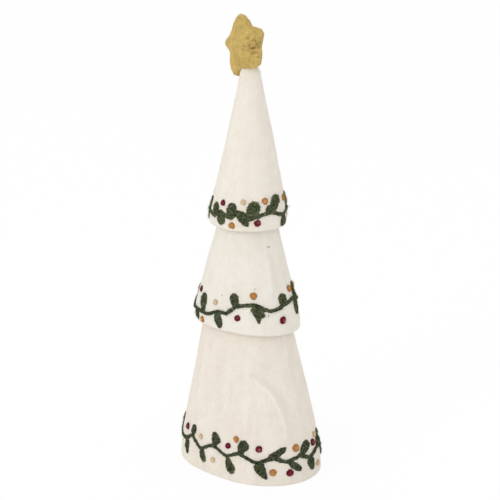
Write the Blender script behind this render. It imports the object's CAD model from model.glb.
"""Dresses the wool Christmas tree for its picture.

The three felt cones, the vines, the berries and the star are modelled again in fine mesh over the
frame's plain solids, with lumps, felted edges and stray wool, and each wool gets its own material.

Lengths are in metres. An azimuth is in degrees round the tree, 0 at the front and growing
towards +X.
"""

import math
from dataclasses import dataclass

import bmesh
import bpy
import numpy as np
from mathutils import Matrix, Vector, noise
from mathutils.bvhtree import BVHTree


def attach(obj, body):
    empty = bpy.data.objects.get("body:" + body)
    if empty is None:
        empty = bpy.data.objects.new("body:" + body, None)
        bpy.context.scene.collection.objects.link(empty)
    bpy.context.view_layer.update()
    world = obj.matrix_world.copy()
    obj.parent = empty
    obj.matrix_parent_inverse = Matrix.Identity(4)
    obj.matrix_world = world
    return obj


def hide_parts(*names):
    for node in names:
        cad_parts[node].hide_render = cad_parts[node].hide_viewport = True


MM = 0.001

# The felt cones, the same sizes as in the part
FELT_WALL = 5.5 * MM
HEM_ROUND = 2.2 * MM
BASE_ROUND = 1.4 * MM
SKIRT_GAP = 1.2 * MM
CLEARANCE = 0.3 * MM
TIP_HEIGHT = 313.5 * MM
TIP_RADIUS = 8.1 * MM
TIP_ROUND = 8.5 * MM
BOTTOM_HEM = {
    "height": 0,
    "radius": 54.7 * MM,
    "draw_in": 2.6 * MM,
    "draw_height": 30 * MM,
    "slope": (0, 0),
}
MIDDLE_HEM = {
    "height": 114 * MM,
    "radius": 41.6 * MM,
    "draw_in": 2.6 * MM,
    "draw_height": 17 * MM,
    "slope": (0.031, 0.035),
}
TOP_HEM = {
    "height": 193 * MM,
    "radius": 31.4 * MM,
    "draw_in": 1.8 * MM,
    "draw_height": 18 * MM,
    "slope": (0.012, 0),
}
MIDDLE_LAP_SHARE = 0.45
TOP_LAP_SHARE = 0.27
CROWN_SHARE = 0.45
TOP_CAVITY_SHARE = 0.62
TOP_CAVITY_ROUND_SHARE = 0.13
BOW = 2.8 * MM
BOW_HEIGHT = 300 * MM
OVAL_PRESS = 8.4 * MM
OVAL_HEIGHT = 190 * MM
OVAL_AZIMUTH = 48
OVAL_CORE_RADIUS = 20 * MM

# How finely the felt is meshed: points round the tree, and the height of a row outside and inside
FELT_TURNS = 240
OUTER_ROW = 1.1 * MM
INNER_ROW = 3 * MM

# A shoulder is even where the cone above covers it. Its lumps start this far above that cone's
# hem, and they come in over the fade.
LUMPS_START = 2 * MM
LUMPS_FADE = 9 * MM

# The firm felt lies this deep below the loose fibres, but not at the very tip, under the star
LOOSE_DEPTH = 0.4 * MM
FIRM_TIP = 20 * MM

# Widths of the felt's broad swells, small lumps, upright folds and fine unevenness
BROAD_SWELL = 27 * MM
SMALL_LUMP = 10 * MM
UPRIGHT_FOLD = 7 * MM
UPRIGHT_FOLD_HEIGHT = 45 * MM
FINE_LUMP = 3.2 * MM

# Soft creases that the felting left in the cones: places along each, as azimuth and height
CREASES = {
    "bottom": [
        (6, 80 * MM), (10, 77 * MM), (17, 73 * MM), (23, 66.5 * MM), (27.5, 57 * MM),
        (30, 46 * MM), (29, 37 * MM),
    ],
    "middle": [(31.6, 170 * MM), (31, 149 * MM)],
}
CREASE_WIDTH = 1.4 * MM
CREASE_LIFT = 0.38 * MM
HOLLOW_WIDTH = 3.5 * MM
HOLLOW_SHARE = 0.6

# The vines: how finely they are remeshed, how deep they sink into the felt, and how thick the
# wool is where it counts as full
VINE_VOXEL = 0.42 * MM
VINE_SMOOTHING = 3
VINE_SINK = 0.45 * MM + LOOSE_DEPTH
VINE_FULL = 0.8 * MM

# Leaves that the needle left slimmer or fuller than the rest. Each row has the azimuth and the
# height above the hem of its root, the same of its tip, the share by which the tip is drawn in
# (or let out, where negative), and the lean towards +X seen from the front.
SHAPED_LEAVES = {
    "top": [
        (-46, 13.7 * MM, -38, 3.4 * MM, 0.0, -1.0 * MM),
        (-27, 9.8 * MM, -22, 21.6 * MM, 0.0, -1.2 * MM),
        (-14, 15.1 * MM, 2, 4.5 * MM, 0.45, -0.8 * MM),
        (37, 13.4 * MM, 54, 26.0 * MM, -0.25, 0),
        (64, 10.1 * MM, 66, 0.8 * MM, -0.3, 0),
    ],
    "middle": [
        (-69, 10.8 * MM, -69, 26.4 * MM, -0.6, -1.5 * MM),
        (-43, 15.2 * MM, -36, 1.6 * MM, -0.15, -0.5 * MM),
        (-15, 21.6 * MM, -16.5, 32.4 * MM, 0.0, -0.8 * MM),
        (12, 24.4 * MM, 13, 10.0 * MM, 0.50, -0.3 * MM),
        (42, 22.0 * MM, 47, 31.6 * MM, -0.1, -0.7 * MM),
    ],
    "bottom": [
        (-61, 18.0 * MM, -50, 8.4 * MM, -0.3, -1.8 * MM),
        (-44, 24.0 * MM, -36, 33.2 * MM, -0.6, -1.2 * MM),
        (-25, 19.2 * MM, -14, 6.4 * MM, -0.35, -1.8 * MM),
        (-12, 23.6 * MM, -1, 33.2 * MM, -0.1, -1.8 * MM),
        (5, 18.4 * MM, 14, 5.6 * MM, 0.25, -1.0 * MM),
        (13, 20.4 * MM, 29, 30.4 * MM, 0.25, 0.5 * MM),
        (30, 18.8 * MM, 41, 10.0 * MM, 0.2, 0),
        (41, 22.0 * MM, 51, 30.8 * MM, -0.2, 0),
    ],
}
# A leaf is shaped this far to each side of its middle line, with a fade beyond, and to this
# share of its length
LEAF_REACH = 4.6 * MM
LEAF_FADE = 2.2 * MM
LEAF_END = 1.3

# The felted dots, in shares of the radius: their width beside the plain solid's, how high they
# stand and how deep they reach, and the dimple that the needle left
DOT_SHARE = 0.9
DOT_RISE = 0.66
DOT_SINK = 0.3
DIMPLE_DEPTH = 0.30
DIMPLE_WIDTH = 0.38

# The star's middle and how it is turned, the same as in the part
STAR_MIDDLE = Vector((-4.5 * MM, 1.5 * MM, TIP_HEIGHT + 13.2 * MM))
STAR_HEADING = 23
STAR_ROLL = 17
STAR_VOXEL = 0.6 * MM
STAR_SMOOTHING = 5
# Nearer to the cone's tip than this the star keeps its place, and beyond the fade it doesn't
STAR_SEAT = 0.6 * MM
STAR_SEAT_FADE = 2.4 * MM
# How far the maker drew out each arm of the star and pushed in each notch: angle round the star,
# distance, spread
STAR_HANDLING = [
    (18, 1.0 * MM, 20), (150, -1.2 * MM, 16), (172, -0.2 * MM, 14), (234, 2.0 * MM, 18),
    (306, -1.3 * MM, 20), (54, -1.3 * MM, 16), (126, -0.4 * MM, 16), (200, -0.2 * MM, 14),
    (272, -4.5 * MM, 15),
]
# The notch at the star's right, pushed in only between its faces: angle, distance, spread, half
# depth
STAR_SIDE_NOTCH = (342, -1.0 * MM, 13, 5 * MM)
# The lower arm at the star's front is bent back by this much
LOW_ARM_BEND = 3.8 * MM

# Bits of other wool caught in the middle cone: colour, azimuth, height above the hem, half width,
# half height
CAUGHT_WOOL = [
    ("olive", 37.0, 65.7 * MM, 1.4 * MM, 0.5 * MM),
    ("cream", 10.0, 36.5 * MM, 0.8 * MM, 0.5 * MM),
    ("grey", -37.0, 28.9 * MM, 0.5 * MM, 0.4 * MM),
    ("middle green", -27.0, 14.2 * MM, 0.22 * MM, 1.2 * MM),
    ("middle green", 23.4, 16.4 * MM, 0.22 * MM, 1.2 * MM),
]
CAUGHT_THICKNESS = 0.18 * MM

# Loose fibres: how many on each mesh, how long and thick they are, how much of their length they
# rise, and where their random draws start
CONE_FUZZ = {"count": 3500, "length": 2.4 * MM, "radius": 0.022 * MM, "rise": 0.35, "seed": 11}
VINE_FUZZ = {"count": 3600, "length": 2.6 * MM, "radius": 0.05 * MM, "rise": 0.45, "seed": 12}
DOT_FUZZ = {"count": 60, "length": 1.7 * MM, "radius": 0.036 * MM, "rise": 0.4, "seed": 13}
STAR_FUZZ = {"count": 1500, "length": 2.2 * MM, "radius": 0.028 * MM, "rise": 0.35, "seed": 14}
FIBRE_RINGS = 5
FIBRE_SIDES = 3

# Where the raggedness of the vines starts, so that they come out the same each time
WOOL_SEED = 2

# How each kind of wool is worked: clumps and strands to the metre, how much its clumps, strands
# and streaks show, the depth and strength of its relief, and its sheen. The cones' clumps differ.
FELT_WORK = {
    "strands": 620, "shares": (0.55, 0.30, 0.35), "relief": 0.5 * MM, "strength": 0.5, "sheen": 0.2,
}
VINE_WORK = {
    "clumps": 420, "strands": 950, "shares": (1.25, 0.45, 0), "relief": 0.6 * MM,
    "strength": 0.9, "sheen": 0.05,
}
DOT_WORK = {
    "clumps": 520, "strands": 1200, "shares": (0.75, 0.45, 0), "relief": 0.5 * MM,
    "strength": 0.8, "sheen": 0.15,
}
STAR_WORK = {
    "clumps": 300, "strands": 850, "shares": (0.70, 0.46, 0.22), "relief": 0.6 * MM,
    "strength": 0.9, "sheen": 0.1,
}

# The photograph's view, and the studio's light
LENS = 118.94
SENSOR_WIDTH = 36
CAMERA_PLACE = (-0.4 * MM, -1.2, 0.526)
CAMERA_TILT = 73.52
FLOOR_CORNERS = [(-6, -6, 0), (6, -6, 0), (6, 8, 0), (-6, 8, 0)]
# How much of the floor is seen as plain white, over the part of it that keeps the shadow
FLOOR_WHITE_SHARE = 0.88
WORLD_LIGHT = 0.94
LAMP_PLACE = (-1.3, -1.5, 1.3)
LAMP_TARGET = (0, 0, 0.17)
LAMP_SIZE = 1.0
LAMP_POWER = 8


@dataclass
class Cone:
    """One felt cone, with the heights and radii of its round shape."""

    name: str
    hem: dict
    hem_round: float
    waist_height: float
    waist_radius: float
    seat_height: float
    seat_radius: float
    crown: float
    ceiling_height: float
    ceiling_round: float
    even_height: float

    def radius(self, height):
        """Outer radius of the side at a height between the hem and the crown."""
        if height <= self.waist_height:
            part = (height - self.hem["height"]) / (self.waist_height - self.hem["height"])
            straight = self.hem["radius"] + (self.waist_radius - self.hem["radius"]) * part
            above = (height - self.hem["height"]) / self.hem["draw_height"]
            return straight - self.hem["draw_in"] * max(0, 1 - above) ** 2
        part = (height - self.waist_height) / (self.seat_height - self.waist_height)
        return self.waist_radius + (self.seat_radius - self.waist_radius) * min(1, part)


def make_cones():
    top_height = TIP_HEIGHT - TOP_HEM["height"]
    top_lap = TOP_LAP_SHARE * top_height
    middle_lap = MIDDLE_LAP_SHARE * (TOP_HEM["height"] - MIDDLE_HEM["height"])
    waist = TIP_HEIGHT - TIP_ROUND
    top = Cone(
        name="top",
        hem=TOP_HEM,
        hem_round=HEM_ROUND,
        waist_height=waist,
        waist_radius=TIP_RADIUS,
        seat_height=waist,
        seat_radius=TIP_RADIUS,
        crown=TIP_ROUND,
        ceiling_height=TOP_HEM["height"] + TOP_CAVITY_SHARE * top_height,
        ceiling_round=TOP_CAVITY_ROUND_SHARE * top_height,
        even_height=TOP_HEM["height"] + top_lap,
    )
    middle_even = MIDDLE_HEM["height"] + middle_lap
    middle = fitted_inside(top, top_lap, "middle", MIDDLE_HEM, HEM_ROUND, middle_even)
    bottom_even = BOTTOM_HEM["draw_height"]
    bottom = fitted_inside(middle, middle_lap, "bottom", BOTTOM_HEM, BASE_ROUND, bottom_even)
    return {"bottom": bottom, "middle": middle, "top": top}


def fitted_inside(upper, lap, name, hem, hem_round, even_height):
    """A cone whose shoulder carries the cone above it."""
    upper_hem = upper.hem["height"]
    seat = upper_hem + lap
    crown = CROWN_SHARE * lap
    return Cone(
        name=name,
        hem=hem,
        hem_round=hem_round,
        waist_height=upper_hem,
        waist_radius=upper.radius(upper_hem) - FELT_WALL - SKIRT_GAP,
        seat_height=seat,
        seat_radius=upper.radius(seat) - FELT_WALL - CLEARANCE,
        crown=crown,
        ceiling_height=seat,
        ceiling_round=crown / 2,
        even_height=even_height,
    )


def shaped_by_hand(x, y, z, cone):
    """Bows the tree, presses its lower part oval and hangs the hems unevenly, as in the part."""
    reach = math.hypot(x, y)
    if reach > 0:
        azimuth = math.atan2(x, -y)
        press = OVAL_PRESS * max(0, 1 - (z / OVAL_HEIGHT) ** 2)
        oval = math.cos(2 * (azimuth - math.radians(OVAL_AZIMUTH)))
        push = press * oval * min(1, reach / OVAL_CORE_RADIUS)
        x += push * math.sin(azimuth)
        y -= push * math.cos(azimuth)
    uneven = (cone.even_height - z) / (cone.even_height - cone.hem["height"])
    slope_x, slope_y = cone.hem["slope"]
    z -= (slope_x * x + slope_y * y) * min(1, max(0, uneven))
    x -= BOW * math.sin(math.pi * z / BOW_HEIGHT) ** 3
    return x, y, z


def place_on(cone, azimuth, height):
    """The point of a cone's face at this azimuth and height above its hem."""
    turn = math.radians(azimuth)
    height += cone.hem["height"]
    radius = cone.radius(height)
    return Vector(shaped_by_hand(radius * math.sin(turn), -radius * math.cos(turn), height, cone))


def soft_step(value):
    """Goes smoothly from 0 to 1 as the value does."""
    value = min(1, max(0, value))
    return value * value * (3 - 2 * value)


def bell(away, width):
    """1 in the middle, falling smoothly to almost nothing at twice the width away from it."""
    return math.exp(-((away / width) ** 2))


def signed(degrees):
    """The same angle, between -180 and 180."""
    return (degrees + 180) % 360 - 180


def felt_profile(cone):
    """Points from the apex down the outside, round the hem and up the inside.

    Each is its radius, its height, and its lumpiness from 0 to 1."""
    covered = cone.name != "top"
    found = []
    for i in range(18):
        turn = math.radians(90 - 5 * i)
        radius = cone.seat_radius * math.cos(turn)
        found.append((radius, cone.seat_height + cone.crown * math.sin(turn), 0 if covered else 1))
    found[0] = (0, found[0][1], 0)

    low = cone.hem["height"] + cone.hem_round
    rows = round((cone.seat_height - low) / OUTER_ROW)
    for i in range(rows + 1):
        height = cone.seat_height + (low - cone.seat_height) * i / rows
        lumpy = 1
        if covered:
            lumpy = soft_step((cone.waist_height + LUMPS_START - height) / LUMPS_FADE)
        found.append((cone.radius(height), height, lumpy))

    bend = cone.hem_round
    outer_middle = cone.radius(low) - bend
    inner_middle = cone.radius(low) - FELT_WALL + bend
    for i in range(1, 7):
        turn = math.radians(-15 * i)
        radius = outer_middle + bend * math.cos(turn)
        found.append((radius, low + bend * math.sin(turn), 1 - 0.12 * i))
    for i in range(7):
        turn = math.radians(-90 - 15 * i)
        radius = inner_middle + bend * math.cos(turn)
        found.append((radius, low + bend * math.sin(turn), 0.28 - 0.04 * i))

    rows = round((cone.ceiling_height - low) / INNER_ROW)
    for i in range(1, rows + 1):
        height = low + (cone.ceiling_height - low) * i / rows
        found.append((cone.radius(height) - FELT_WALL, height, 0))
    inner = cone.radius(cone.ceiling_height) - FELT_WALL
    for i in range(1, 10):
        turn = math.radians(10 * i)
        height = cone.ceiling_height + cone.ceiling_round * math.sin(turn)
        found.append((inner * math.cos(turn), height, 0))
    found[-1] = (0, found[-1][1], 0)
    return found


def crease_at(cone, azimuth, height, radius):
    """How strongly a crease shows: 1 on its ridge, below 0 in the hollow on its right."""
    places = CREASES.get(cone.name)
    if not places:
        return 0
    nearest, side = 1.0, 0
    for (a, low), (b, high) in zip(places, places[1:]):
        run = math.radians(b - a) * radius
        rise = high - low
        across = math.radians(azimuth - a) * radius
        up = height - low
        along = min(1, max(0, (across * run + up * rise) / (run * run + rise * rise)))
        gap = math.hypot(across - along * run, up - along * rise)
        if gap < nearest:
            nearest, side = gap, run * up - rise * across
    ridge = bell(nearest, CREASE_WIDTH)
    hollow = bell(nearest - HOLLOW_WIDTH, HOLLOW_WIDTH) if side > 0 else 0
    return ridge - HOLLOW_SHARE * hollow * (1 - ridge)


def felt_lump(x, y, z, cone):
    """How far hand-felted wool stands off the even shape at a place."""
    spot = Vector((x, y, 0.6 * z))
    shift = {"bottom": 0, "middle": 3, "top": 7}[cone.name]
    upright_spot = Vector((x / UPRIGHT_FOLD, y / UPRIGHT_FOLD, z / UPRIGHT_FOLD_HEIGHT + shift))
    broad = noise.noise(spot / BROAD_SWELL + Vector((shift, 0, 0)))
    small = noise.noise(spot / SMALL_LUMP + Vector((0, shift, 0)))
    upright = noise.noise(upright_spot)
    fine = noise.noise(Vector((x, y, z)) / FINE_LUMP)
    return (0.50 * broad + 0.24 * small + 0.28 * upright + 0.11 * fine) * MM


def fine_felt(cone):
    """The cone's felt as a fine mesh, closed all round."""
    profile = felt_profile(cone)
    last = len(profile) - 1
    points, creases = [], []
    for k, (radius, height, lumpy) in enumerate(profile):
        turns = 1 if k in (0, last) else FELT_TURNS
        for i in range(turns):
            turn = 2 * math.pi * i / FELT_TURNS
            x, y, z = shaped_by_hand(
                radius * math.sin(turn), -radius * math.cos(turn), height, cone
            )
            crease = 0
            if lumpy:
                crease = crease_at(cone, signed(math.degrees(turn)), height, radius)
                firm = LOOSE_DEPTH * min(1, (TIP_HEIGHT - height) / FIRM_TIP)
                lift = lumpy * (felt_lump(x, y, z, cone) + CREASE_LIFT * crease - firm)
                x += lift * math.sin(turn)
                y -= lift * math.cos(turn)
            points.append((x, y, z))
            creases.append(crease)

    def ring(k):
        """The points of a row. The first and last rows are one point, again and again."""
        if k == 0:
            return [0] * FELT_TURNS
        first = 1 + (k - 1) * FELT_TURNS
        return [first] * FELT_TURNS if k == last else [first + i for i in range(FELT_TURNS)]

    faces = []
    for k in range(last):
        upper, lower = ring(k), ring(k + 1)
        for i in range(FELT_TURNS):
            j = (i + 1) % FELT_TURNS
            corners = [upper[i], lower[i], lower[j], upper[j]]
            faces.append([c for n, c in enumerate(corners) if c != corners[n - 1]])
    mesh = bpy.data.meshes.new(cone.name + "_felt")
    mesh.from_pydata(points, [], faces)
    mark(mesh, "crease", creases)
    mesh.shade_smooth()
    return mesh


def new_piece(name, mesh, material):
    """An object that rides on the tree and takes its finish from one of the record's wools."""
    piece = bpy.data.objects.new(name, mesh)
    bpy.context.scene.collection.objects.link(piece)
    mesh.materials.clear()
    mesh.materials.append(material)
    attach(piece, "root")
    return piece


def read_points(mesh):
    points = np.empty(len(mesh.vertices) * 3)
    mesh.vertices.foreach_get("co", points)
    return points.reshape(-1, 3)


def mark(mesh, name, values):
    """Keeps one number for each point of the mesh, for its material to read."""
    attribute = mesh.attributes.new(name, "FLOAT", "POINT")
    attribute.data.foreach_set("value", np.asarray(values, dtype=np.float32))


def remeshed(source, voxel, smoothing):
    """A copy of a plain solid as an even, fine skin."""
    draft = bpy.data.objects.new("draft", source.data.copy())
    bpy.context.scene.collection.objects.link(draft)
    remesh = draft.modifiers.new("even", "REMESH")
    remesh.mode = "VOXEL"
    remesh.voxel_size = voxel
    smooth = draft.modifiers.new("soft", "SMOOTH")
    smooth.factor = 0.5
    smooth.iterations = smoothing
    bpy.context.view_layer.update()
    finished = draft.evaluated_get(bpy.context.evaluated_depsgraph_get())
    mesh = bpy.data.meshes.new_from_object(finished)
    bpy.data.objects.remove(draft)
    mesh.materials.clear()
    mesh.shade_smooth()
    return mesh


def largest_body(mesh):
    """Leaves out the specks that remeshing can leave inside a piece."""
    work = bmesh.new()
    work.from_mesh(mesh)
    unseen = set(work.verts)
    bodies = []
    while unseen:
        body = {unseen.pop()}
        waiting = list(body)
        while waiting:
            point = waiting.pop()
            fresh = {edge.other_vert(point) for edge in point.link_edges} & unseen
            unseen -= fresh
            body |= fresh
            waiting += fresh
        bodies.append(body)
    bodies.sort(key=len)
    for body in bodies[:-1]:
        bmesh.ops.delete(work, geom=list(body), context="VERTS")
    work.to_mesh(mesh)
    work.free()
    return mesh


def shaped_leaf(point, out, root, tip, share, lean):
    """Draws a leaf in towards its middle line, more and more towards its tip, and leans it."""
    along = tip - root
    way = (point - root).dot(along) / along.length_squared
    aside = point - root - way * along
    aside -= aside.dot(out) * out
    if not 0 < way < LEAF_END or aside.length > LEAF_REACH + LEAF_FADE:
        return point
    near = 1 - soft_step((aside.length - LEAF_REACH) / LEAF_FADE)
    sideways = Vector((0, 0, 1)).cross(out).normalized()
    return point + near * (lean * soft_step(1.6 * way) * sideways - share * soft_step(way) * aside)


def felted_vine(source, felt, leaves):
    """A vine of needle-felted wool: its edges sink into the felt and its outline is ragged.

    leaves are those with a shape of their own: root, tip, share drawn in and lean."""
    mesh = largest_body(remeshed(source, VINE_VOXEL, VINE_SMOOTHING))
    heights, tufts = [], []
    normals = [vertex.normal.copy() for vertex in mesh.vertices]
    for vertex, facing in zip(mesh.vertices, normals):
        spot, out, _, _ = felt.find_nearest(vertex.co)
        swell = noise.noise_vector(vertex.co / (2.1 * MM)) * 0.45 * MM
        fine = noise.noise_vector(vertex.co / (0.8 * MM)) * 0.20 * MM
        height = (vertex.co - spot).dot(out) - VINE_SINK
        heights.append(min(1, max(0, height / VINE_FULL)))
        tuft = noise.noise(vertex.co / (1.0 * MM) + Vector((11, 5, 2)))
        tufts.append(tuft)
        for leaf in leaves:
            vertex.co = shaped_leaf(vertex.co, out, *leaf)
        vertex.co += (0.22 + 0.25 * tuft) * MM * facing - VINE_SINK * out + swell + fine
    mark(mesh, "thickness", heights)
    mark(mesh, "tuft", tufts)
    return mesh


def berry_dot(source, felt, seed):
    """A felted dot with a soft dimple where the needle went in.

    Its paler strands lie round a heart to one side, which not every dot has."""
    points = read_points(source.data)
    centre = Vector((points.min(0) + points.max(0)) / 2)
    radius = DOT_SHARE * np.linalg.norm(points - np.array(centre), axis=1).max()
    seat, out, _, _ = felt.find_nearest(centre)
    facing = out.to_track_quat("Z", "Y")
    drift = Vector((seed * 1.7, seed * 0.9, 0))
    heart_share = (seed * 0.618 + radius / MM) % 1
    heart_turn = seed * 2.4
    heart_x, heart_y = 0.3 * math.cos(heart_turn), 0.3 * math.sin(heart_turn)
    ball = bmesh.new()
    bmesh.ops.create_icosphere(ball, subdivisions=4, radius=1)
    hearts, rims = [], []
    for vertex in ball.verts:
        x, y, z = vertex.co
        spread = math.hypot(x, y)
        dimple = 1 - DIMPLE_DEPTH * bell(spread, DIMPLE_WIDTH)
        broad = noise.noise(vertex.co * 1.6 + drift)
        fine = noise.noise(vertex.co * 4 + drift)
        lumpy = 1 + 0.26 * broad + 0.08 * fine
        height = DOT_RISE * z * dimple if z > 0 else DOT_SINK * z
        aside = math.hypot(x - heart_x, y - heart_y)
        hearts.append(heart_share * bell(aside, 0.42) if z > 0 else 0)
        rims.append(soft_step((spread - 0.55) / 0.45))
        vertex.co = seat + facing @ (Vector((x, y, height)) * (radius * lumpy))
    mesh = bpy.data.meshes.new("dot")
    ball.to_mesh(mesh)
    ball.free()
    mark(mesh, "heart", hearts)
    mark(mesh, "rim", rims)
    mesh.shade_smooth()
    return mesh


def handled_star(across, depth, up, seated):
    """Where a point of the star goes under the maker's fingers: puffed arms and pushed-in notches.

    seated is 1 where the star sits on the tip and keeps its place."""
    low_front = soft_step((-9 * MM - up) / (5 * MM)) * soft_step(across / (6 * MM))
    depth += LOW_ARM_BEND * low_front * soft_step(-depth / (6 * MM))
    reach = math.hypot(across, up)
    angle = math.degrees(math.atan2(up, across))
    push = 0
    for aim, distance, spread in STAR_HANDLING:
        push += distance * bell(signed(angle - aim), spread)
    aim, distance, spread, half_depth = STAR_SIDE_NOTCH
    gap = signed(angle - aim)
    push += distance * math.exp(-((gap / spread) ** 2) - (depth / half_depth) ** 2)
    push *= (1 - seated) * min(1, reach / (11 * MM)) ** 2

    ridge = math.cos(math.radians(5 * (angle - 90))) * min(1, reach / (9 * MM))
    flat = min(1, max(-1, depth / (5 * MM)))
    broad = bell(signed(angle + 18), 55) * max(0, flat)
    slim = bell(angle - 90, 32) * soft_step((reach - 7 * MM) / (16 * MM))
    depth = (1 - 0.42 * slim) * depth + (0.6 * ridge * flat + 1.1 * broad) * MM
    across += push * across / max(reach, MM)
    up += push * up / max(reach, MM)
    return Vector((across, depth, up))


def needled_star(point, across, depth, up):
    """How far the star's wool swells at a point, how deep a needle pit is there, and a smudge.

    Pits and smudges are thickest where the star was held, in the middle of its front edge."""
    held = bell(math.hypot(depth, up + 3 * MM), 8 * MM) if across > 0 else 0
    swell = 0.5 * noise.noise(point / (6 * MM)) + 0.32 * noise.noise(point / (2.4 * MM))
    swell += 0.14 * noise.noise(point / (1.1 * MM))
    drawn = Vector((across / (5 * MM), depth / (2.2 * MM), up / (11 * MM)))
    swell += 0.45 * noise.noise(drawn)
    near = noise.voronoi(point / (1.8 * MM))[0][0]
    busy = 0.25 + 1.3 * noise.noise(point / (6 * MM) + Vector((5, 0, 0))) + 0.8 * held
    pit = max(0, busy) * bell(near, 0.30)
    smudge = 0.5 * held * max(0, 0.5 + 1.6 * noise.noise(point / (2.0 * MM)))
    return swell, pit, smudge


def felted_star(source, tip):
    """The star in firm needle-felted wool, with its swells and small needle pits."""
    mesh = remeshed(source, STAR_VOXEL, STAR_SMOOTHING)
    turned = (
        Matrix.Translation(STAR_MIDDLE)
        @ Matrix.Rotation(math.radians(STAR_HEADING - 90), 4, "Z")
        @ Matrix.Rotation(-math.radians(STAR_ROLL), 4, "Y")
    )
    level = turned.inverted()
    for vertex in mesh.vertices:
        from_tip = tip.find_nearest(vertex.co)[3]
        seated = 1 - soft_step((from_tip - STAR_SEAT) / STAR_SEAT_FADE)
        vertex.co = turned @ handled_star(*(level @ vertex.co), seated)
    mesh.update()
    points = [vertex.co.copy() for vertex in mesh.vertices]
    normals = [vertex.normal.copy() for vertex in mesh.vertices]
    pits = []
    for vertex, point, out in zip(mesh.vertices, points, normals):
        swell, pit, smudge = needled_star(point, *(level @ point))
        pits.append(pit + smudge)
        vertex.co = point + out * (swell - 0.8 * pit) * MM
    mark(mesh, "pit", pits)
    return mesh


def caught_wool(name, felt, cone, azimuth, height, half_width, half_height):
    """A small bit of wool caught in a cone's felt."""
    seat, out, _, _ = felt.find_nearest(place_on(cone, azimuth, height))
    side = Vector((0, 0, 1)).cross(out).normalized()
    rise = out.cross(side)
    bit = bmesh.new()
    bmesh.ops.create_icosphere(bit, subdivisions=3, radius=1)
    for vertex in bit.verts:
        x, y, z = vertex.co * (1 + 0.35 * noise.noise(vertex.co * 2 + seat * 900))
        vertex.co = seat + side * (x * half_width) + rise * (y * half_height)
        vertex.co += out * (z * CAUGHT_THICKNESS)
    mesh = bpy.data.meshes.new(name)
    bit.to_mesh(mesh)
    bit.free()
    mesh.shade_smooth()
    return mesh


def stray_wool(name, meshes, count, length, radius, rise, seed):
    """Fine loose fibres rooted all over some surfaces, a count of them for each mesh.

    Each is a thin closed tube that rises from the wool and lies down again."""
    rng = np.random.default_rng(seed)
    count *= len(meshes)
    corners = []
    for mesh in meshes:
        mesh.calc_loop_triangles()
        index = np.empty(len(mesh.loop_triangles) * 3, dtype=np.int64)
        mesh.loop_triangles.foreach_get("vertices", index)
        corners.append(read_points(mesh)[index].reshape(-1, 3, 3))
    corners = np.concatenate(corners)
    cross = np.cross(corners[:, 1] - corners[:, 0], corners[:, 2] - corners[:, 0])
    area = np.linalg.norm(cross, axis=1)
    chosen = rng.choice(len(area), count, p=area / area.sum())
    share = rng.dirichlet((1, 1, 1), count)
    root = np.einsum("nk,nkc->nc", share, corners[chosen])
    out = cross[chosen] / area[chosen, None]
    way = rng.normal(size=(count, 3))
    way -= out * (way * out).sum(1, keepdims=True)
    way /= np.linalg.norm(way, axis=1, keepdims=True)
    side = np.cross(out, way)
    long = length * rng.uniform(0.4, 1.2, (count, 1))
    tall = rise * rng.uniform(0.2, 1.0, (count, 1))
    curl = rng.uniform(-0.5, 0.5, (count, 1))

    rings = []
    for k in range(FIBRE_RINGS):
        s = k / (FIBRE_RINGS - 1)
        lift = long * tall * math.sin(math.pi * s * 0.8) - radius
        middle = root + way * long * s + side * long * curl * s * s + out * lift
        thin = radius * (1 - 0.75 * s)
        for i in range(FIBRE_SIDES):
            turn = 2 * math.pi * i / FIBRE_SIDES
            rings.append(middle + thin * (side * math.cos(turn) + out * math.sin(turn)))
    points = np.stack(rings, axis=1)
    # No fibre reaches below the floor
    points[:, :, 2] -= np.minimum(0, points[:, :, 2].min(axis=1, keepdims=True))

    pattern = []
    for k in range(FIBRE_RINGS - 1):
        for i in range(FIBRE_SIDES):
            j = (i + 1) % FIBRE_SIDES
            a, b = k * FIBRE_SIDES, (k + 1) * FIBRE_SIDES
            pattern += [(a + i, a + j, b + j), (a + i, b + j, b + i)]
    end = (FIBRE_RINGS - 1) * FIBRE_SIDES
    pattern += [(0, 2, 1), (end, end + 1, end + 2)]
    first = np.arange(count) * FIBRE_RINGS * FIBRE_SIDES
    faces = (np.array(pattern)[None] + first[:, None, None]).reshape(-1, 3)
    mesh = bpy.data.meshes.new(name)
    mesh.from_pydata(points.reshape(-1, 3).tolist(), [], faces.tolist())
    mesh.shade_smooth()
    return mesh


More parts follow.
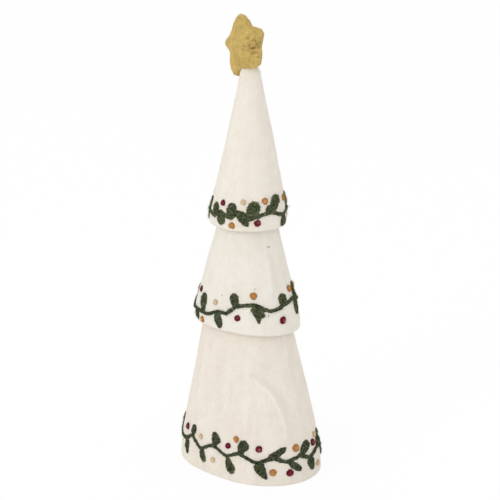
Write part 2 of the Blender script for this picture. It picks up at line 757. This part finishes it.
class Web:
    """A node tree that is being wired."""

    def __init__(self, tree):
        self.tree = tree

    def add(self, kind, **settings):
        node = self.tree.nodes.new(kind)
        for name, value in settings.items():
            setattr(node, name, value)
        return node

    def feed(self, value, socket):
        """Links an output to the socket, or sets the socket to a plain value."""
        if isinstance(value, bpy.types.NodeSocket):
            self.tree.links.new(value, socket)
        else:
            socket.default_value = value

    def maths(self, operation, a, b, clamp=False):
        node = self.add("ShaderNodeMath", operation=operation, use_clamp=clamp)
        self.feed(a, node.inputs[0])
        self.feed(b, node.inputs[1])
        return node.outputs[0]

    def plus(self, a, b, clamp=False):
        return self.maths("ADD", a, b, clamp)

    def minus(self, a, b, clamp=False):
        return self.maths("SUBTRACT", a, b, clamp)

    def times(self, a, b):
        return self.maths("MULTIPLY", a, b)

    def spread(self, value, low, high):
        """0 to 1 as the value goes from low to high."""
        node = self.add("ShaderNodeMapRange")
        for name, given in (("Value", value), ("From Min", low), ("From Max", high)):
            self.feed(given, node.inputs[name])
        return node.outputs["Result"]

    def tint(self, share, a, b):
        """Colour a, going over to b with the share."""
        node = self.add("ShaderNodeMix", data_type="RGBA")
        self.feed(share, node.inputs["Factor"])
        self.feed(a, node.inputs["A"])
        self.feed(b, node.inputs["B"])
        return node.outputs["Result"]

    def speckle(self, place, scale, detail=2.0, twist=0.0):
        node = self.add("ShaderNodeTexNoise")
        self.feed(place, node.inputs["Vector"])
        self.feed(scale, node.inputs["Scale"])
        node.inputs["Detail"].default_value = detail
        node.inputs["Distortion"].default_value = twist
        return node.outputs["Fac"]

    def strands(self, place, scale, twist, sharpness):
        """Thin curling lines, where a twisted noise crosses its middle value."""
        away = self.minus(self.speckle(place, scale, 2.0, twist), 0.5)
        away = self.maths("ABSOLUTE", away, 0.0)
        return self.minus(1.0, self.times(away, sharpness), clamp=True)

    def stretched(self, place, shift, scale):
        node = self.add("ShaderNodeMapping")
        self.feed(place, node.inputs["Vector"])
        node.inputs["Location"].default_value = shift
        node.inputs["Scale"].default_value = scale
        return node.outputs["Vector"]


def matted_wool_group():
    """Matted wool as a colour and a height: clumps, tangled strands, wrinkles, upright streaks."""
    group = bpy.data.node_groups.new("matted wool", "ShaderNodeTree")
    for name, kind, value in (
        ("Colour", "NodeSocketColor", (0.8, 0.8, 0.8, 1)),
        ("Pale", "NodeSocketColor", (1, 1, 1, 1)),
        ("Deep", "NodeSocketColor", (0.5, 0.5, 0.5, 1)),
        ("Clumps per metre", "NodeSocketFloat", 90),
        ("Strands per metre", "NodeSocketFloat", 700),
        ("Clump share", "NodeSocketFloat", 0.5),
        ("Strand share", "NodeSocketFloat", 0.5),
        ("Streak share", "NodeSocketFloat", 0),
    ):
        socket = group.interface.new_socket(name, in_out="INPUT", socket_type=kind)
        socket.default_value = value
    for name, kind in (
        ("Colour", "NodeSocketColor"),
        ("Strands", "NodeSocketFloat"),
        ("Height", "NodeSocketFloat"),
    ):
        group.interface.new_socket(name, in_out="OUTPUT", socket_type=kind)
    web = Web(group)
    given = web.add("NodeGroupInput").outputs
    result = web.add("NodeGroupOutput").inputs
    place = web.add("ShaderNodeTexCoord").outputs["Object"]
    clump_scale = given["Clumps per metre"]
    strand_scale = given["Strands per metre"]
    clump_share = given["Clump share"]

    clumps = web.spread(web.speckle(place, clump_scale, 4.0), 0.36, 0.64)
    tufts = web.spread(web.speckle(place, web.times(clump_scale, 3.3), 3.0, 0.8), 0.36, 0.64)
    wrinkles = web.strands(place, web.times(clump_scale, 1.9), 1.2, 14)
    coarse = web.strands(place, strand_scale, 2.4, 9)
    aside = web.stretched(place, (0.8, 0.3, 0.1), (1, 1, 1))
    fine = web.strands(aside, web.times(strand_scale, 2.1), 3.0, 11)
    strands = web.maths("MAXIMUM", coarse, fine)
    upright = web.stretched(place, (0, 0, 0), (1, 1, 0.12))
    streaks = web.spread(web.speckle(upright, 150, 2.0), 0.42, 0.66)

    thickness = web.times(web.plus(clumps, tufts), 0.5)
    dark = web.times(web.minus(1.0, thickness), clump_share)
    dark = web.plus(dark, web.times(web.times(wrinkles, clump_share), 0.35))
    dark = web.plus(dark, web.times(streaks, given["Streak share"]), clamp=True)
    colour = web.tint(dark, given["Colour"], given["Deep"])
    colour = web.tint(web.times(strands, given["Strand share"]), colour, given["Pale"])
    height = web.plus(web.times(strands, 0.45), web.times(tufts, 0.35))
    height = web.minus(height, web.times(wrinkles, 0.25))
    web.feed(colour, result["Colour"])
    web.feed(strands, result["Strands"])
    web.feed(height, result["Height"])
    return group


def wool_material(name, group, colour, pale, deep, clumps, strands, shares, relief, strength,
                  sheen, tints=(), flecks=None):
    """One wool. shares are those of its clumps, strands and streaks.

    tints are (attribute, colour, low, high): the colour comes in as the attribute goes from low
    to high. flecks is (attribute, colour, share): strands of that colour where the attribute is
    high."""
    material = bpy.data.materials.new(name)
    material.use_nodes = True
    web = Web(material.node_tree)
    shader = material.node_tree.nodes["Principled BSDF"]
    shader.inputs["Roughness"].default_value = 0.95
    shader.inputs["Specular IOR Level"].default_value = 0.15
    shader.inputs["Sheen Weight"].default_value = sheen
    shader.inputs["Sheen Roughness"].default_value = 0.5
    shader.inputs["Sheen Tint"].default_value = (*pale, 1)
    wool = web.add("ShaderNodeGroup", node_tree=group)
    for socket, value in (
        ("Colour", (*colour, 1)),
        ("Pale", (*pale, 1)),
        ("Deep", (*deep, 1)),
        ("Clumps per metre", clumps),
        ("Strands per metre", strands),
        ("Clump share", shares[0]),
        ("Strand share", shares[1]),
        ("Streak share", shares[2]),
    ):
        wool.inputs[socket].default_value = value
    shown = wool.outputs["Colour"]
    for attribute, tint, low, high in tints:
        read = web.add("ShaderNodeAttribute", attribute_name=attribute)
        shown = web.tint(web.spread(read.outputs["Fac"], low, high), shown, (*tint, 1))
    if flecks:
        attribute, tint, share = flecks
        read = web.add("ShaderNodeAttribute", attribute_name=attribute)
        fleck = web.times(wool.outputs["Strands"], web.times(read.outputs["Fac"], share))
        shown = web.tint(fleck, shown, (*tint, 1))
    web.feed(shown, shader.inputs["Base Color"])
    bump = web.add("ShaderNodeBump")
    bump.inputs["Strength"].default_value = strength
    bump.inputs["Distance"].default_value = relief
    web.feed(wool.outputs["Height"], bump.inputs["Height"])
    web.feed(bump.outputs["Normal"], shader.inputs["Normal"])
    return material


def green_wool(name, group, light):
    """The vines' wool, dark with paler tufts and edges. light lifts or lowers all its greens."""
    def shade(*colour):
        return tuple(light * channel for channel in colour)

    return wool_material(
        name, group, shade(0.090, 0.122, 0.055), shade(0.22, 0.25, 0.125),
        shade(0.006, 0.012, 0.006), **VINE_WORK,
        tints=[
            ("tuft", shade(0.29, 0.32, 0.18), 0.08, 0.85),
            ("tuft", shade(0.005, 0.010, 0.005), -0.02, -0.50),
            ("thickness", shade(0.25, 0.28, 0.135), 0.45, -0.2),
        ],
    )


def make_wools():
    """All the wools, by name. Each has its own colour, then its pale strands' and its deep one."""
    group = matted_wool_group()
    return {
        "top felt": wool_material(
            "cream felt, top", group,
            (0.885, 0.825, 0.74), (0.93, 0.89, 0.82), (0.80, 0.72, 0.61), 150, **FELT_WORK,
        ),
        "middle felt": wool_material(
            "cream felt, middle", group,
            (0.868, 0.826, 0.748), (0.915, 0.885, 0.825), (0.785, 0.725, 0.625), 140, **FELT_WORK,
            tints=[
                ("crease", (0.90, 0.87, 0.80), 0.2, 1.6),
                ("crease", (0.77, 0.72, 0.63), 0, -1),
            ],
        ),
        "bottom felt": wool_material(
            "cream felt, bottom", group,
            (0.875, 0.805, 0.715), (0.92, 0.875, 0.80), (0.765, 0.685, 0.585), 130, **FELT_WORK,
            tints=[
                ("crease", (0.92, 0.88, 0.81), 0.2, 1.8),
                ("crease", (0.76, 0.69, 0.59), 0, -1),
            ],
        ),
        "top green": green_wool("green wool, top vine", group, 1.10),
        "middle green": green_wool("green wool, middle vine", group, 0.96),
        "bottom green": green_wool("green wool, bottom vine", group, 0.85),
        "gold": wool_material(
            "gold star wool", group,
            (0.94, 0.655, 0.180), (0.97, 0.80, 0.36), (0.57, 0.345, 0.068), **STAR_WORK,
            tints=[("pit", (0.22, 0.125, 0.025), 0.15, 1.0)],
        ),
        "red": wool_material(
            "crimson dot wool", group,
            (0.19, 0.006, 0.022), (0.30, 0.030, 0.052), (0.075, 0.003, 0.010), **DOT_WORK,
            tints=[("rim", (0.07, 0.002, 0.010), 0.25, 1.9)],
            flecks=("heart", (0.66, 0.34, 0.37), 0.9),
        ),
        "orange": wool_material(
            "orange dot wool", group,
            (0.63, 0.255, 0.05), (0.77, 0.43, 0.15), (0.40, 0.125, 0.02), **DOT_WORK,
            tints=[("rim", (0.36, 0.10, 0.012), 0.25, 1.9)],
            flecks=("heart", (0.90, 0.64, 0.30), 0.9),
        ),
        "cream": wool_material(
            "beige dot wool", group,
            (0.87, 0.68, 0.42), (0.93, 0.80, 0.58), (0.64, 0.43, 0.21), **DOT_WORK,
            tints=[("rim", (0.66, 0.46, 0.24), 0.2, 1.6)],
            flecks=("heart", (0.93, 0.84, 0.66), 0.6),
        ),
        "grey": wool_material(
            "grey caught wool", group,
            (0.36, 0.37, 0.34), (0.55, 0.55, 0.50), (0.20, 0.21, 0.19), **DOT_WORK,
        ),
        "olive": wool_material(
            "olive caught wool", group,
            (0.50, 0.50, 0.24), (0.66, 0.65, 0.40), (0.36, 0.37, 0.15), **DOT_WORK,
        ),
    }


def dress_cone(cone, wools):
    """A cone's felt and its loose fibres. Gives back the felt's surface, to seat pieces on."""
    wool = wools[cone.name + " felt"]
    mesh = fine_felt(cone)
    piece = new_piece(cone.name + "_felt_cone", mesh, wool)
    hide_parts(cone.name + "_cone")
    fuzz = stray_wool(cone.name + "_cone_fuzz", [mesh], **CONE_FUZZ)
    new_piece(cone.name + "_cone_fuzz", fuzz, wool)
    return BVHTree.FromObject(piece, bpy.context.evaluated_depsgraph_get())


def dress_vine(cone, source, felt, wools):
    """A cone's vine and its loose fibres."""
    wool = wools[cone.name + " green"]
    leaves = []
    for root_turn, root_height, tip_turn, tip_height, share, lean in SHAPED_LEAVES[cone.name]:
        root = place_on(cone, root_turn, root_height)
        tip = place_on(cone, tip_turn, tip_height)
        leaves.append((root, tip, share, lean))
    mesh = felted_vine(source, felt, leaves)
    piece = new_piece(cone.name + "_felted_vine", mesh, wool)
    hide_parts(cone.name + "_vine")
    fuzz = stray_wool(cone.name + "_vine_fuzz", [mesh], **VINE_FUZZ)
    new_piece(cone.name + "_vine_fuzz", fuzz, wool)


def dress_dots(cone, nodes, felt, wools):
    """A cone's felted dots, and the loose fibres on those of each colour."""
    meshes = {}
    berries = sorted(name for name in nodes if name.startswith(cone.name + "_berry_"))
    for i, berry in enumerate(berries):
        colour = berry.rsplit("_", 1)[1]
        mesh = berry_dot(nodes[berry], felt, i)
        label = berry.replace("berry", "felted_berry")
        dot = new_piece(label, mesh, wools[colour])
        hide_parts(berry)
        meshes.setdefault(colour, []).append(mesh)
    for colour, alike in meshes.items():
        label = f"{cone.name}_{colour}_berry_fuzz"
        fuzz = stray_wool(label, alike, **DOT_FUZZ)
        new_piece(label, fuzz, wools[colour])


def catch_wool(cone, felt, wools):
    """The bits of other wool in a cone's felt."""
    for i, (colour, azimuth, height, half_width, half_height) in enumerate(CAUGHT_WOOL):
        label = f"caught_{colour.split()[-1]}_wool_{i + 1}"
        bit = caught_wool(label, felt, cone, azimuth, height, half_width, half_height)
        new_piece(label, bit, wools[colour])


def dress_star(source, tip, wool):
    """The star and its loose fibres."""
    mesh = felted_star(source, tip)
    piece = new_piece("felted_star", mesh, wool)
    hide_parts("star")
    fuzz = stray_wool("star_fuzz", [mesh], **STAR_FUZZ)
    new_piece("star_fuzz", fuzz, wool)


def dress_tree(nodes, wools):
    felts = {}
    for name, cone in make_cones().items():
        felts[name] = dress_cone(cone, wools)
        dress_vine(cone, nodes[name + "_vine"], felts[name], wools)
        if name == "middle":
            catch_wool(cone, felts[name], wools)
        dress_dots(cone, nodes, felts[name], wools)
    dress_star(nodes["star"], felts["top"], wools["gold"])


def seen_or_mirrored(web):
    """1 where a surface is looked at, straight, in a mirror or through glass, and otherwise 0."""
    ray = web.add("ShaderNodeLightPath").outputs
    found = web.maths("MAXIMUM", ray["Is Camera Ray"], ray["Is Glossy Ray"])
    return web.maths("MAXIMUM", found, ray["Is Transmission Ray"])


def white_ground():
    """A white floor that keeps a soft shadow and is seen as white."""
    mesh = bpy.data.meshes.new("floor")
    mesh.from_pydata(FLOOR_CORNERS, [], [(0, 1, 2, 3)])
    floor = bpy.data.objects.new("floor", mesh)
    bpy.context.scene.collection.objects.link(floor)
    material = bpy.data.materials.new("white paper")
    material.use_nodes = True
    nodes = material.node_tree.nodes
    shader = nodes["Principled BSDF"]
    shader.inputs["Base Color"].default_value = (1, 1, 1, 1)
    shader.inputs["Roughness"].default_value = 1
    shader.inputs["Specular IOR Level"].default_value = 0
    web = Web(material.node_tree)
    glow = web.add("ShaderNodeEmission")
    glow.inputs["Strength"].default_value = 1.0
    mix = web.add("ShaderNodeMixShader")
    web.feed(web.times(seen_or_mirrored(web), FLOOR_WHITE_SHARE), mix.inputs[0])
    web.feed(shader.outputs[0], mix.inputs[1])
    web.feed(glow.outputs[0], mix.inputs[2])
    web.feed(mix.outputs[0], nodes["Material Output"].inputs["Surface"])
    mesh.materials.append(material)


def white_world():
    """Even light from all round, seen as white."""
    world = bpy.data.worlds.new("white studio")
    bpy.context.scene.world = world
    world.use_nodes = True
    background = world.node_tree.nodes["Background"]
    background.inputs["Color"].default_value = (1, 1, 1, 1)
    web = Web(world.node_tree)
    level = web.add("ShaderNodeMapRange")
    level.inputs["To Min"].default_value = WORLD_LIGHT
    level.inputs["To Max"].default_value = 1.0
    web.feed(seen_or_mirrored(web), level.inputs["Value"])
    web.feed(level.outputs["Result"], background.inputs["Strength"])


def add_lamp():
    """One large soft lamp, as from a window at the front left."""
    lamp = bpy.data.lights.new("window light", "AREA")
    lamp.shape = "DISK"
    lamp.size = LAMP_SIZE
    lamp.energy = LAMP_POWER
    made = bpy.data.objects.new("window light", lamp)
    bpy.context.scene.collection.objects.link(made)
    made.location = LAMP_PLACE
    aim = Vector(LAMP_TARGET) - Vector(LAMP_PLACE)
    made.rotation_euler = aim.to_track_quat("-Z", "Y").to_euler()


def add_camera():
    camera = bpy.data.cameras.new("camera")
    camera.lens = LENS
    camera.sensor_width = SENSOR_WIDTH
    made = bpy.data.objects.new("camera", camera)
    bpy.context.scene.collection.objects.link(made)
    made.location = CAMERA_PLACE
    made.rotation_euler = (math.radians(CAMERA_TILT), 0, 0)
    bpy.context.scene.camera = made


noise.seed_set(WOOL_SEED)
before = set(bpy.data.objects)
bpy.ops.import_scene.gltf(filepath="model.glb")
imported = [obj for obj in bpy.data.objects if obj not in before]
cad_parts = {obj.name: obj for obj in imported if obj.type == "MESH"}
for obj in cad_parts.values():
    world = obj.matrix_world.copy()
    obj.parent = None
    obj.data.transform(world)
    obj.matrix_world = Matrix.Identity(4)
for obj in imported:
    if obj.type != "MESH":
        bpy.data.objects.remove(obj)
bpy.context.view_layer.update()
add_camera()
dress_tree(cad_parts, make_wools())
white_ground()
white_world()
add_lamp()
bpy.context.scene.view_settings.view_transform = "Standard"
